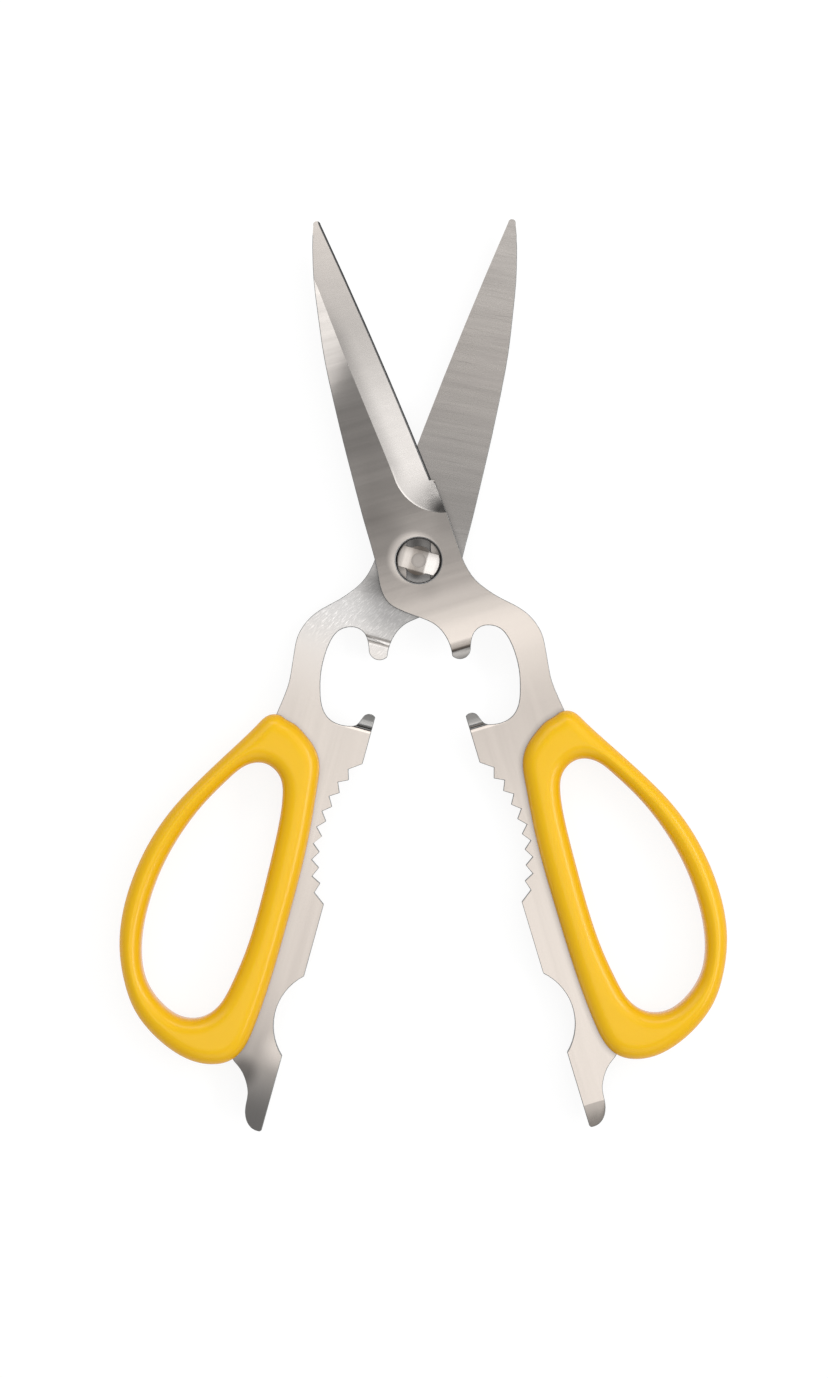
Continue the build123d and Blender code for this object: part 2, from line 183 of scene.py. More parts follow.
# Painted shadows and shade on the rear half's inner face: under the front plate's edge, seen through the
# recess, beside the locking bar, and by the plate's edge near the handle
SHADOW_OF_FRONT_PLATE = (0.5, -10.0, 3.5, 13.0, 0.6)
SHADE_THROUGH_RECESS = (0.0, 1.5, 5.0, 6.3, 0.54)
SHADOW_BENEATH_BAR = (-0.2, -2.9, 0.2, 1.8, 0.45)
SHADOW_OVER_BAR = (1.6, 3.6, 0.2, 2.0, 0.5)
PLATE_SHADOW = (7.6, -7.4, 0.5, 5.0, 0.65)
# A painted highlight and a painted shade on the tail
TAIL_HIGHLIGHT = (0.2, -112.0, 1.0, 6.0, 1.5)
TAIL_SHADE = (7.5, -118.5, 1.0, 4.8, 0.5)
INNER_PATCHES = (SHADOW_OF_FRONT_PLATE, SHADE_THROUGH_RECESS, SHADOW_BENEATH_BAR, SHADOW_OVER_BAR, TAIL_HIGHLIGHT, TAIL_SHADE, PLATE_SHADOW)
# Painted shade where the ground face runs out by the heel
RUN_OUT_SHADE = (8.4, 8.8, 1.0, 5.2, 0.14)
# A painted highlight in the middle of the peened pin's head
PEEN_HIGHLIGHT = (0.0, 0.0, 0.9, 1.5, 1.15)

# The bend between the blade's level and the handle's, where the steel shades as if it were flat
BEND_REACH = (-38.0, -35.0, -26.0, -23.0)

# The ground face: its ridge as two points (across, along), and the circle where the grinding wheel ran out
RIDGE_START = (0.0, 20.0)
RIDGE_END = (-4.2, 65.0)
# Painted shade along the ridge, and a painted highlight on the run-out's rim
RIDGE_SHADE = -0.28
RIDGE_SPREAD = (-0.3, 3.6)
RIDGE_REACH = (15.0, 22.0, 50.0, 62.0)
RUN_OUT_CENTRE = (11.2, 19.15)
RUN_OUT_RADIUS = 11.1
RUN_OUT_HIGHLIGHT = 0.6
RUN_OUT_SPREAD = (RUN_OUT_RADIUS - 0.45, RUN_OUT_RADIUS - 0.1)
RUN_OUT_FADE = (22.0, 14.0)
GRIND_ANGLE = radians(16.3)
GRIND_SHARE = 0.9

# The spine, where the outer face tips towards the light, more so near the blade's point
SPINE_TIP = (-0.34, 0.30)
SPINE_SLANT = 0.16
SPINE_SPREAD = (6.5, -14.5)
SPINE_FADE = (18.5, 58.5)

# Scratches: (turn, fineness per metre, how many times longer than wide)
ACROSS_SCRATCHES = (0.0, 2600.0, 40.0)
WHEEL_SCRATCHES = (radians(4), 2400.0, 22.0)
HANDLE_SCRATCHES = (pi / 2, 2600.0, 30.0)
GLINT_SCRATCHES = (radians(60), 3400.0, 5.0)
BROAD_SHARE = 0.22

# Where scratches show, the part of the noise that makes them, and what they change
BLADE_FADE = (-22.0, -6.0)
HANDLE_FADE = (-28.0, -40.0)
# The glints' reach, noise and tones paint short scratches brighter, as glints of light
GLINT_REACH = (-26.0, -18.0, -10.0, -3.0)
COMMON_NOISE = (0.3, 0.7)
DEEP_NOISE = (0.24, 0.36)
GLINT_NOISE = (0.5, 0.72)
GLINT_TONES = (-0.1, 0.25)
ROUGHNESS_SHARES = (-0.08, 0.1)
SCRATCH_DEPTH = 0.01 * MM

# How far the painted shade in sheltered corners reaches, and how many samples it takes
CORNER_REACH = 1.4 * MM
CORNER_SAMPLES = 8

# The grips' plastic: its colours, its clouds and grain per metre, its sheen, and how light scatters in it
PLASTIC = (0.79, 0.455, 0.0, 1.0)
PLASTIC_LIGHT = (0.82, 0.485, 0.0, 1.0)
# Painted shade: the deeper yellow where the surface turns away, and how soon it begins
PLASTIC_SHADED = (0.68, 0.27, 0.001, 1.0)
SHADED_BLEND = 0.3
CLOUD_FINENESS = 60.0
GRAIN_FINENESS = 2500.0
GRAIN_STRENGTH = 0.12
GRAIN_DEPTH = 0.02 * MM
PLASTIC_ROUGHNESS = (0.24, 0.28)
PLASTIC_SHEEN = 0.36
SCATTER_SHARE = 0.1
SCATTER_DEPTH = 1.5 * MM
SCATTER_COLOURS = (1.0, 0.6, 0.1)

# The studio: lamps as (name, place, point that it faces, size, watts), the even light and the floor
LAMPS = (
    ("overhead", (0, -0.18, 1.3), (0, -0.18, 0), (1.1, 0.5), 2.1),
    ("right", (0.8, 0.2, 0.9), (0, 0, 0), (1.2, 1.1), 3.3),
    ("right strip", (0.98, 0.0, 0.78), (0, 0, 0), (1.3, 0.2), 5.2),
    ("top left", (-0.7, 0.8, 0.85), (0, 0, 0), (0.8, 0.7), 2.5),
    ("top strip", (0.05, 0.98, 0.8), (0, 0, 0), (1.1, 0.2), 3.0),
    ("bottom", (0.1, -0.95, 0.7), (0, 0, 0), (0.9, 0.6), 1.2),
)
EVEN_LIGHT = 0.5
FLOOR_HALF = 3.0
FLOOR_LEVEL = -0.02 * MM
FLOOR_COLOUR = (0.8, 0.8, 0.8, 1.0)
FLOOR_GLOW = 1.08
FLOOR_GLOW_SHARE = 0.8
WHITE = (1.0, 1.0, 1.0, 1.0)


def new_object(name, content):
    """A new object for a mesh, a lamp or a camera, linked to the scene."""
    made = bpy.data.objects.new(name, content)
    bpy.context.scene.collection.objects.link(made)
    return made


def merged_mesh(node):
    """A copy of a CAD node's mesh with its doubled points merged."""
    merged = bmesh.new()
    merged.from_mesh(frame["nodes"][node].data)
    bmesh.ops.remove_doubles(merged, verts=merged.verts, dist=DOUBLED)
    return merged


# Shader helpers
class Shader:
    """A material's or a group's node tree, with short ways to add and join nodes."""

    def __init__(self, tree):
        self.tree = tree

    def put(self, socket, value):
        """Sets a socket to a value, or joins an output to it."""
        if isinstance(value, bpy.types.NodeSocket):
            self.tree.links.new(value, socket)
        else:
            socket.default_value = value

    def add(self, kind, inputs=(), **settings):
        """A node of a kind with its settings, and its inputs set or joined."""
        made = self.tree.nodes.new("ShaderNode" + kind)
        for name, value in settings.items():
            setattr(made, name, value)
        for socket, value in dict(inputs).items():
            self.put(made.inputs[socket], value)
        return made

    def effect(self, group, given):
        """A group's outputs by name, with its inputs taken from the given values of the same names."""
        made = self.add("Group", node_tree=group)
        for socket in made.inputs:
            self.put(socket, given[socket.name])
        return {socket.name: socket for socket in made.outputs}

    def math(self, operation, *values):
        """What one Math node makes of its numbers."""
        return self.add("Math", dict(enumerate(values)), operation=operation).outputs[0]

    def vector(self, operation, *values):
        """What one Vector Math node makes of its vectors or colours."""
        return self.add("VectorMath", dict(enumerate(values)), operation=operation).outputs[0]

    def scaled(self, vector, factor):
        """A vector times a number."""
        return self.add("VectorMath", {0: vector, "Scale": factor}, operation="SCALE").outputs[0]

    def distance(self, first, second):
        """How far apart two points are."""
        made = self.add("VectorMath", {0: first, 1: second}, operation="DISTANCE")
        return made.outputs["Value"]

    def joined(self, **parts):
        """A vector joined from its parts X, Y and Z."""
        return self.add("CombineXYZ", parts).outputs[0]

    def turned(self, vector, angle, centre=(0.0, 0.0, 0.0)):
        """A vector turned about Z."""
        inputs = {"Vector": vector, "Center": centre, "Angle": angle}
        return self.add("VectorRotate", inputs, rotation_type="Z_AXIS").outputs[0]

    def mixed(self, kind, share, first, second):
        """Two colours or vectors mixed by a share."""
        return self.add("Mix", {"Factor": share, "A": first, "B": second}, data_type=kind).outputs["Result"]

    def spread(self, value, low, high, at_low=0.0, at_high=1.0, steps="LINEAR"):
        """A value that changes from one number to another between two places, and not outside them."""
        inputs = {"Value": value, "From Min": low, "From Max": high, "To Min": at_low, "To Max": at_high}
        return self.add("MapRange", inputs, interpolation_type=steps).outputs["Result"]

    def reach(self, value, places):
        """1 between the two middle places and 0 outside the outer two, with smooth steps."""
        first, second, third, fourth = places
        rise = self.spread(value, first, second, steps="SMOOTHSTEP")
        fall = self.spread(value, third, fourth, 1.0, 0.0, "SMOOTHSTEP")
        return self.math("MULTIPLY", rise, fall)

    def tones(self, value, stops, steps):
        """A value turned into a colour by smooth steps between (place, tone, warmth) stops."""
        low, high = stops[0][0], stops[-1][0]
        ramp = self.add("ValToRGB", {"Fac": self.spread(value, low, high)})
        ramp.color_ramp.interpolation = steps
        elements = ramp.color_ramp.elements
        for stop in stops[1:-1]:
            elements.new((stop[0] - low) / (high - low))
        for element, (_, tone, warmth) in zip(elements, stops):
            element.color = [tone * (1 - warmth * loss) for loss in WARMTH] + [1]
        return ramp.outputs["Color"]


def new_material(name):
    """A material with an empty node tree, and its shader helper."""
    material = bpy.data.materials.new(name)
    material.use_nodes = True
    material.node_tree.nodes.clear()
    return material, Shader(material.node_tree)


def new_group(name, inputs, outputs):
    """A node group with named inputs and outputs: the group, its helper, its given values and its results."""
    group = bpy.data.node_groups.new(name, "ShaderNodeTree")
    for label, kind in inputs.items():
        group.interface.new_socket(name=label, in_out="INPUT", socket_type="NodeSocket" + kind)
    for label, kind in outputs.items():
        group.interface.new_socket(name=label, in_out="OUTPUT", socket_type="NodeSocket" + kind)
    given = group.nodes.new("NodeGroupInput").outputs
    out = group.nodes.new("NodeGroupOutput").inputs
    return group, Shader(group), given, out


# Effects that the steels share
def brushed_group():
    """Fine scratches along one direction: noise stretched along X after the pattern is turned by Turn."""
    group, shader, given, out = new_group(
        "brushed scratches",
        {"Vector": "Vector", "Turn": "Float", "Fineness": "Float", "Stretch": "Float"},
        {"Scratches": "Float", "Broad": "Float"},
    )
    turned = shader.turned(given["Vector"], given["Turn"])
    squeeze = shader.joined(X=shader.math("DIVIDE", 1.0, given["Stretch"]), Y=1.0, Z=1.0)
    stretched = shader.vector("MULTIPLY", turned, squeeze)
    coarse = shader.math("MULTIPLY", given["Fineness"], BROAD_SHARE)
    fine = {"Vector": stretched, "Scale": given["Fineness"], "Detail": 3.0, "Roughness": 0.6}
    broad = {"Vector": stretched, "Scale": coarse, "Detail": 2.0}
    shader.put(out["Scratches"], shader.add("TexNoise", fine).outputs["Fac"])
    shader.put(out["Broad"], shader.add("TexNoise", broad).outputs["Fac"])
    return group


def place_group():
    """Where a point lies in its half with the blades closed, in mm: across from the axis, along the blade."""
    group, shader, given, out = new_group(
        "place in the half",
        {"Vector": "Vector", "Turn": "Float", "Side": "Float"},
        {"Across": "Float", "Along": "Float"},
    )
    turned = shader.turned(given["Vector"], given["Turn"], tuple(PIVOT))
    away = shader.vector("SUBTRACT", turned, tuple(PIVOT))
    parts = shader.add("SeparateXYZ", {0: shader.scaled(away, 1 / MM)}).outputs
    shader.put(out["Across"], shader.math("MULTIPLY", parts["X"], given["Side"]))
    shader.put(out["Along"], parts["Y"])
    return group


def streaks_group():
    """A pattern's part from Low to High turned into shades from 1 + Dark to 1 + Light, faded out by Reach."""
    names = ("Pattern", "Low", "High", "Dark", "Light", "Reach")
    group, shader, given, out = new_group("streaks", dict.fromkeys(names, "Float"), {"Shade": "Float"})
    streaks = shader.spread(given["Pattern"], given["Low"], given["High"], given["Dark"], given["Light"])
    shader.put(out["Shade"], shader.math("MULTIPLY_ADD", streaks, given["Reach"], 1.0))
    return group


def patch_group():
    """A soft round patch of painted light and shade: Tone inside the Inner radius, fading to 1 at the Outer
    one, in mm.
    """
    names = ("Across", "Along", "Middle Across", "Middle Along", "Inner", "Outer", "Tone")
    group, shader, given, out = new_group("round patch", dict.fromkeys(names, "Float"), {"Shade": "Float"})
    here = shader.joined(X=given["Across"], Y=given["Along"])
    middle = shader.joined(X=given["Middle Across"], Y=given["Middle Along"])
    away = shader.distance(here, middle)
    shade = shader.spread(away, given["Inner"], given["Outer"], given["Tone"], 1.0, "SMOOTHSTEP")
    shader.put(out["Shade"], shade)
    return group


def tone_group(name, direction, stops, steps="B_SPLINE"):
    """The painted light and shade of a steel, as tones by stops in one direction, Along or Across."""
    group, shader, given, out = new_group(name, {direction: "Float"}, {"Shade": "Color"})
    shader.put(out["Shade"], shader.tones(given[direction], stops, steps))
    return group


def claw_group(name, stops):
    """A claw's painted bands of light and shade between its first and its last stop along the half."""
    group, shader, given, out = new_group(name, {"Across": "Float", "Along": "Float"}, {"Shade": "Color"})
    from_low = shader.math("GREATER_THAN", given["Along"], stops[0][0])
    to_high = shader.math("LESS_THAN", given["Along"], stops[-1][0])
    near = shader.math("MULTIPLY", from_low, to_high)
    near = shader.math("MULTIPLY", near, shader.reach(given["Across"], CLAW_REACH))
    bands = shader.tones(given["Along"], stops, "EASE")
    shader.put(out["Shade"], shader.mixed("RGBA", near, WHITE, bands))
    return group


def ground_shade_group():
    """The ground face's painted light and shade: a painted shade along the ridge, and a painted highlight on
    the rim where the wheel ran out.

    The ridge leans by slant = (end across - start across) / (end along - start along), and a point's place
    beside it is across - slant * along.
    """
    group, shader, given, out = new_group(
        "ground face shade", {"Across": "Float", "Along": "Float"}, {"Shade": "Float"},
    )
    across, along = given["Across"], given["Along"]
    slant = (RIDGE_END[0] - RIDGE_START[0]) / (RIDGE_END[1] - RIDGE_START[1])
    beside = shader.math("MULTIPLY_ADD", along, -slant, across)
    ridge = RIDGE_START[0] - slant * RIDGE_START[1]
    low, high = (ridge + away for away in RIDGE_SPREAD)
    shade = shader.spread(beside, low, high, RIDGE_SHADE, 0.0, "SMOOTHSTEP")
    shade = shader.math("MULTIPLY_ADD", shade, shader.reach(along, RIDGE_REACH), 1.0)
    distance = shader.distance(shader.joined(X=across, Y=along), (*RUN_OUT_CENTRE, 0.0))
    rim = shader.spread(distance, *RUN_OUT_SPREAD, 0.0, RUN_OUT_HIGHLIGHT)
    near_heel = shader.spread(along, *RUN_OUT_FADE)
    shader.put(out["Shade"], shader.math("MULTIPLY_ADD", rim, near_heel, shade))
    return group


def glint_group():
    """Short scratches on the plate below the pivot, painted brighter as glints of light."""
    group, shader, given, out = new_group(
        "glints",
        {"Vector": "Vector", "Turn": "Float", "Side": "Float", "Along": "Float"},
        {"Shade": "Float"},
    )
    turn, fineness, stretch = GLINT_SCRATCHES
    own_turn = shader.math("MULTIPLY_ADD", given["Side"], turn, given["Turn"])
    scratches = shader.effect(
        BRUSHED, {"Vector": given["Vector"], "Turn": own_turn, "Fineness": fineness, "Stretch": stretch},
    )
    lit = shader.spread(scratches["Scratches"], *GLINT_NOISE, *GLINT_TONES)
    shader.put(out["Shade"], shader.math("MULTIPLY_ADD", lit, shader.reach(given["Along"], GLINT_REACH), 1.0))
    return group


def ground_normal_group():
    """The ground face's normal: one slope along the blade that swings round the run-out's centre at its heel.

    It leans from the face's own place to that centre, by the grinding angle from upright. Farther along the
    blade than the centre it leans straight across.
    """
    group, shader, given, out = new_group(
        "ground face normal",
        {"Normal": "Vector", "Across": "Float", "Along": "Float", "Turn": "Float", "Side": "Float"},
        {"Normal": "Vector"},
    )
    across = shader.math("SUBTRACT", RUN_OUT_CENTRE[0], given["Across"])
    below = shader.math("SUBTRACT", RUN_OUT_CENTRE[1], given["Along"])
    towards = shader.vector("NORMALIZE", shader.joined(X=across, Y=shader.math("MAXIMUM", below, 0.0)))
    raised = shader.vector("ADD", shader.scaled(towards, sin(GRIND_ANGLE)), (0, 0, cos(GRIND_ANGLE)))
    sided = shader.vector("MULTIPLY", raised, shader.joined(X=given["Side"], Y=1.0, Z=given["Side"]))
    turned = shader.turned(sided, shader.math("MULTIPLY", given["Turn"], -1.0))
    shader.put(out["Normal"], shader.mixed("VECTOR", GRIND_SHARE, given["Normal"], turned))
    return group


def spine_group():
    """Tips the normal of the outer face towards the light, more near the spine and near the blade's point."""
    group, shader, given, out = new_group(
        "spine tipped to the light",
        {"Normal": "Vector", "Across": "Float", "Along": "Float", "Side": "Float"},
        {"Normal": "Vector"},
    )
    beside = shader.math("MULTIPLY_ADD", given["Along"], -SPINE_SLANT, given["Across"])
    near_spine = shader.spread(beside, *SPINE_SPREAD)
    near_point = shader.spread(given["Along"], *SPINE_FADE, steps="SMOOTHSTEP")
    amount = shader.math("MULTIPLY", near_spine, near_point)
    towards = shader.joined(X=shader.math("MULTIPLY", given["Side"], SPINE_TIP[0]), Y=SPINE_TIP[1])
    shader.put(out["Normal"], shader.vector("ADD", given["Normal"], shader.scaled(towards, amount)))
    return group


def bend_group():
    """Makes the bend shade as if it were flat: its normal is turned straight up or down."""
    group, shader, given, out = new_group(
        "flat over the bend", {"Normal": "Vector", "Along": "Float"}, {"Normal": "Vector"},
    )
    upright = shader.add("SeparateXYZ", {0: given["Normal"]}).outputs["Z"]
    straight = shader.joined(Z=shader.math("SIGN", upright))
    share = shader.reach(given["Along"], BEND_REACH)
    shader.put(out["Normal"], shader.mixed("VECTOR", share, given["Normal"], straight))
    return group


BRUSHED = brushed_group()
PLACE = place_group()
STREAKS = streaks_group()
PATCH = patch_group()
GLINTS = glint_group()
GROUND_SHADE = ground_shade_group()
GROUND_NORMAL = ground_normal_group()
SPINE = spine_group()
BEND = bend_group()
# Groups of painted reflections, light and shade along or across a half, on the pivot's pieces and on the
# claws
OUTER_TONE = tone_group("outer face tones", "Along", OUTER_PAINTED_LIGHT)
INNER_TONE = tone_group("inner face tones", "Along", INNER_PAINTED_LIGHT)
GROUND_TONE = tone_group("ground face tones", "Along", GROUND_PAINTED_LIGHT)
BAR_TONE = tone_group("locking bar tones along", "Along", BAR_PAINTED_LIGHT)
BAR_ACROSS_TONE = tone_group("locking bar tones across", "Across", BAR_ACROSS_PAINTED_LIGHT, "EASE")
PIN_TONE = tone_group("pivot pin tones", "Along", PIN_PAINTED_LIGHT)
OUTER_CLAWS = (claw_group("outer claw", OUTER_CLAW), claw_group("outer lower claw", OUTER_LOWER_CLAW))
INNER_CLAWS = (claw_group("inner claw", INNER_CLAW), claw_group("inner lower claw", INNER_LOWER_CLAW))


def patched(patches):
    """Soft round patches as shades of a steel."""
    names = ("Middle Across", "Middle Along", "Inner", "Outer", "Tone")
    return [(PATCH, dict(zip(names, patch))) for patch in patches]


def plain(*groups):
    """Groups that need no values of their own, as shades of a steel."""
    return [(group, {}) for group in groups]


def steel(name, side, shades=(), normals=(), grey=0.72, roughness=0.24, scratches=ACROSS_SCRATCHES,
          contrast=0.02, dark_streaks=0.0, relief=0.02, corners=0.5):
    """Stainless steel: a grey times its shades, with scratches on the blade and faint bands along the handle.

    side is 1 on the front half and -1 on the rear one. shades are (group, values) pairs of painted light and
    shade whose Shade multiplies the grey, and normals are groups that turn the normal. contrast is how much
    the scratches change the tone, dark_streaks how much the few dark ones do, relief how strongly they show
    in the surface, and corners how strongly the painted shade in sheltered corners darkens them.
    """
    material, shader = new_material(name)
    turn = -HALF_OPENING * side
    spot = {"Vector": shader.add("TexCoord").outputs["Object"], "Turn": turn, "Side": float(side)}
    spot |= shader.effect(PLACE, spot)
    own_turn, fineness, stretch = scratches
    fine = shader.effect(BRUSHED, spot | {
        "Turn": turn + own_turn * side, "Fineness": fineness, "Stretch": stretch,
    })
    own_turn, fineness, stretch = HANDLE_SCRATCHES
    lengthwise = shader.effect(BRUSHED, spot | {
        "Turn": turn + own_turn, "Fineness": fineness, "Stretch": stretch,
    })
    on_blade = shader.spread(spot["Along"], *BLADE_FADE)
    on_handle = shader.spread(spot["Along"], *HANDLE_FADE)

    colour = (grey, grey, grey)
    for pattern, (low, high), dark, light, reach in (
        (fine["Broad"], COMMON_NOISE, -contrast, contrast, on_blade),
        (lengthwise["Broad"], COMMON_NOISE, -contrast / 2, contrast / 2, on_handle),
        (fine["Scratches"], DEEP_NOISE, -dark_streaks, 0.0, on_blade),
    ):
        values = {"Pattern": pattern, "Low": low, "High": high, "Dark": dark, "Light": light, "Reach": reach}
        colour = shader.vector("MULTIPLY", colour, shader.effect(STREAKS, values)["Shade"])
    for group, values in shades:
        colour = shader.vector("MULTIPLY", colour, shader.effect(group, spot | values)["Shade"])
    # Painted shade: the colour is darkened in sheltered corners and contacts by ambient occlusion
    shelter = shader.add("AmbientOcclusion", {"Distance": CORNER_REACH}, samples=CORNER_SAMPLES)
    colour = shader.vector("MULTIPLY", colour, shader.math("POWER", shelter.outputs["AO"], corners))

    smoother, rougher = (share * roughness for share in ROUGHNESS_SHARES)
    change = shader.spread(fine["Scratches"], *COMMON_NOISE, smoother, rougher)
    normal = shader.add("NewGeometry").outputs["Normal"]
    for group in normals:
        normal = shader.effect(group, spot | {"Normal": normal})["Normal"]
    bump = shader.add("Bump", {
        "Strength": shader.math("MULTIPLY", on_blade, relief), "Distance": SCRATCH_DEPTH,
        "Height": fine["Scratches"], "Normal": shader.vector("NORMALIZE", normal),
    })
    surface = shader.add("BsdfPrincipled", {
        "Metallic": 1.0, "Base Color": colour, "Normal": bump.outputs["Normal"],
        "Roughness": shader.math("MULTIPLY_ADD", change, on_blade, roughness),
    })
    shader.add("OutputMaterial", {"Surface": surface.outputs["BSDF"]})
    return material


def half_finishes(name, side):
    """The five finishes of a steel half. The blades' inner faces show the grinding wheel's streaks."""
    # The tones, claws, glints and patches are painted reflections, light and shade
    outer = plain(OUTER_TONE, *OUTER_CLAWS) + patched(OUTER_PATCHES)
    inner = plain(INNER_TONE, *INNER_CLAWS, GLINTS) + patched(INNER_PATCHES)
    ground = plain(GROUND_TONE, GROUND_SHADE) + patched((RUN_OUT_SHADE,))
    return {
        "outer": steel(
            name + " satin steel", side, outer, (SPINE, BEND), contrast=0.07, dark_streaks=0.1, corners=0.7,
        ),
        "inner": steel(
            name + " inner steel", side, inner, (BEND,), roughness=0.26, scratches=WHEEL_SCRATCHES,
            contrast=0.07, dark_streaks=0.22, corners=0.2,
        ),
        "ground": steel(
            name + " ground steel", side, ground, (GROUND_NORMAL,), grey=0.8, roughness=0.26, relief=0.0,
        ),
        # Painted shade: the honed edge is near black and the cut walls and broken edges dark grey, so that
        # they show as dark lines
        "honed": steel(name + " honed steel", side, grey=0.07, roughness=0.3),
        "walls": steel(name + " cut steel", side, grey=0.2, roughness=0.4),
    }


def moulded_plastic():
    """Yellow moulded plastic with a painted shade, a deeper yellow where the surface turns away from the
    view, a soft sheen and a fine grain.
    """
    material, shader = new_material("yellow moulded plastic")
    place = shader.add("TexCoord").outputs["Object"]
    cloud = shader.add("TexNoise", {"Vector": place, "Scale": CLOUD_FINENESS, "Detail": 3.0}).outputs["Fac"]
    grain = shader.add("TexNoise", {"Vector": place, "Scale": GRAIN_FINENESS, "Detail": 2.0}).outputs["Fac"]
    # Painted shade: how far the surface turns away from the view
    away = shader.add("LayerWeight", {"Blend": SHADED_BLEND}).outputs["Facing"]
    clouded = shader.mixed("RGBA", cloud, PLASTIC, PLASTIC_LIGHT)
    relief = shader.add("Bump", {"Strength": GRAIN_STRENGTH, "Distance": GRAIN_DEPTH, "Height": grain})
    surface = shader.add("BsdfPrincipled", {
        "Base Color": shader.mixed("RGBA", away, clouded, PLASTIC_SHADED),
        "Roughness": shader.spread(cloud, 0.0, 1.0, *PLASTIC_ROUGHNESS),
        "Normal": relief.outputs["Normal"],
        "Specular IOR Level": PLASTIC_SHEEN,
        "Subsurface Weight": SCATTER_SHARE,
        "Subsurface Scale": SCATTER_DEPTH,
        "Subsurface Radius": SCATTER_COLOURS,
    })
    shader.add("OutputMaterial", {"Surface": surface.outputs["BSDF"]})
    return material


# The steel halves
def closed_frame(points, side):
    """How far across and along a half its points lie from the pivot, as with the blades closed."""
    away = points - PIVOT
    turn = HALF_OPENING * side
    across = side * (away[:, 0] * cos(turn) + away[:, 1] * sin(turn))
    along = away[:, 1] * cos(turn) - away[:, 0] * sin(turn)
    return across, along


def read(items, name, width=1):
    """One value of every item of a mesh, as an array."""
    values = np.zeros(len(items) * width, dtype=np.int32 if name in INDEX_NAMES else np.float32)
    items.foreach_get(name, values)
    return values.reshape(-1, width) if width > 1 else values


def break_edges(piece, side):
    """Breaks the sharp edges with a narrow rounding.

    Those along the cutting edge stay crisp, and so do low creases between level faces away from the blade and
    the bend. At an edge the two faces' normals n and m add up to a vector whose length squared is
    2 + 2 n . m, so the cosine of their angle, n . m, is that length squared / 2 - 1.
    """
    mesh = piece.data
    edge_of_corner = read(mesh.loops, "edge_index")
    normals = np.repeat(read(mesh.polygons, "normal", 3), read(mesh.polygons, "loop_total"), axis=0)
    sums = np.zeros((len(mesh.edges), 3))
    np.add.at(sums, edge_of_corner, normals)
    cosine = (sums ** 2).sum(1) / 2 - 1
    level = np.ones(len(mesh.edges))
    np.minimum.at(level, edge_of_corner, np.abs(normals[:, 2]))
    ends = read(mesh.vertices, "co", 3)[read(mesh.edges, "vertices", 2)]
    across, along = closed_frame(ends.mean(1), side)

    run = CUTTING_TIP - CUTTING_HEEL
    edge_across = CUTTING_HEEL[0] + run[0] / run[1] * (along - CUTTING_HEEL[1])
    keen = (across > edge_across - HONED_WIDTH) & (along > CUTTING_HEEL[1] - HONED_WIDTH)
    keen |= along > CUTTING_TIP[1] - HONED_WIDTH
    sharp = cosine < cos(SHARP_EDGE)
    creased = (cosine < cos(CREASE)) & ~sharp & (level > WALL_LEVEL) & (along < BLADE_START)
    creased &= (along < BEND_REACH[0] * MM) | (along > BEND_REACH[3] * MM)
    weights = mesh.attributes.new("bevel_weight_edge", "FLOAT", "EDGE")
    weights.data.foreach_set("value", (sharp & ~keen).astype(np.float32))
    crisp = mesh.attributes.new("sharp_edge", "BOOLEAN", "EDGE")
    crisp.data.foreach_set("value", (sharp & keen) | creased)

    bevel = piece.modifiers.new("broken edges", "BEVEL")
    bevel.width = EDGE_BREAK
    bevel.segments = BREAK_SEGMENTS
    bevel.limit_method = "WEIGHT"
    bevel.use_clamp_overlap = False
    # The rounding takes the walls' dark grey, a painted shade along every broken edge
    bevel.material = WALLS
    weighted = piece.modifiers.new("flat faces", "WEIGHTED_NORMAL")
    weighted.keep_sharp = True


def steel_piece(name, node, body, side, finishes):
    """A steel half: the CAD node's mesh, merged, its faces sorted by finish, and its sharp edges broken."""
    merged = merged_mesh(node)
    bmesh.ops.dissolve_limit(
        merged, angle_limit=SAME_FACE, use_dissolve_boundaries=False, verts=merged.verts, edges=merged.edges,
    )
    mesh = bpy.data.meshes.new(name)
    merged.to_mesh(mesh)
    merged.free()
    normals = read(mesh.polygons, "normal", 3)
    _, along = closed_frame(read(mesh.polygons, "center", 3), side)
    outwards = normals[:, 2] * side
    level = np.abs(normals[:, 2])
    chosen = {
        "outer": outwards > WALL_LEVEL,
        "inner": outwards < -WALL_LEVEL,
        "ground": (level > WALL_LEVEL) & (level < FLAT_LEVEL) & (along > GROUND_START),
        "honed": (level > WALL_LEVEL) & (level < HONED_LEVEL) & (along > BLADE_START),
        "walls": level <= WALL_LEVEL,
    }
    index = np.zeros(len(level), dtype=np.int32)
    for number, finish in enumerate(FINISHES):
        index[chosen[finish]] = number
        mesh.materials.append(finishes[finish])
    mesh.polygons.foreach_set("material_index", index)
    mesh.shade_smooth()
    piece = new_object(name, mesh)
    break_edges(piece, side)
    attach(piece, body)
    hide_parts(node)


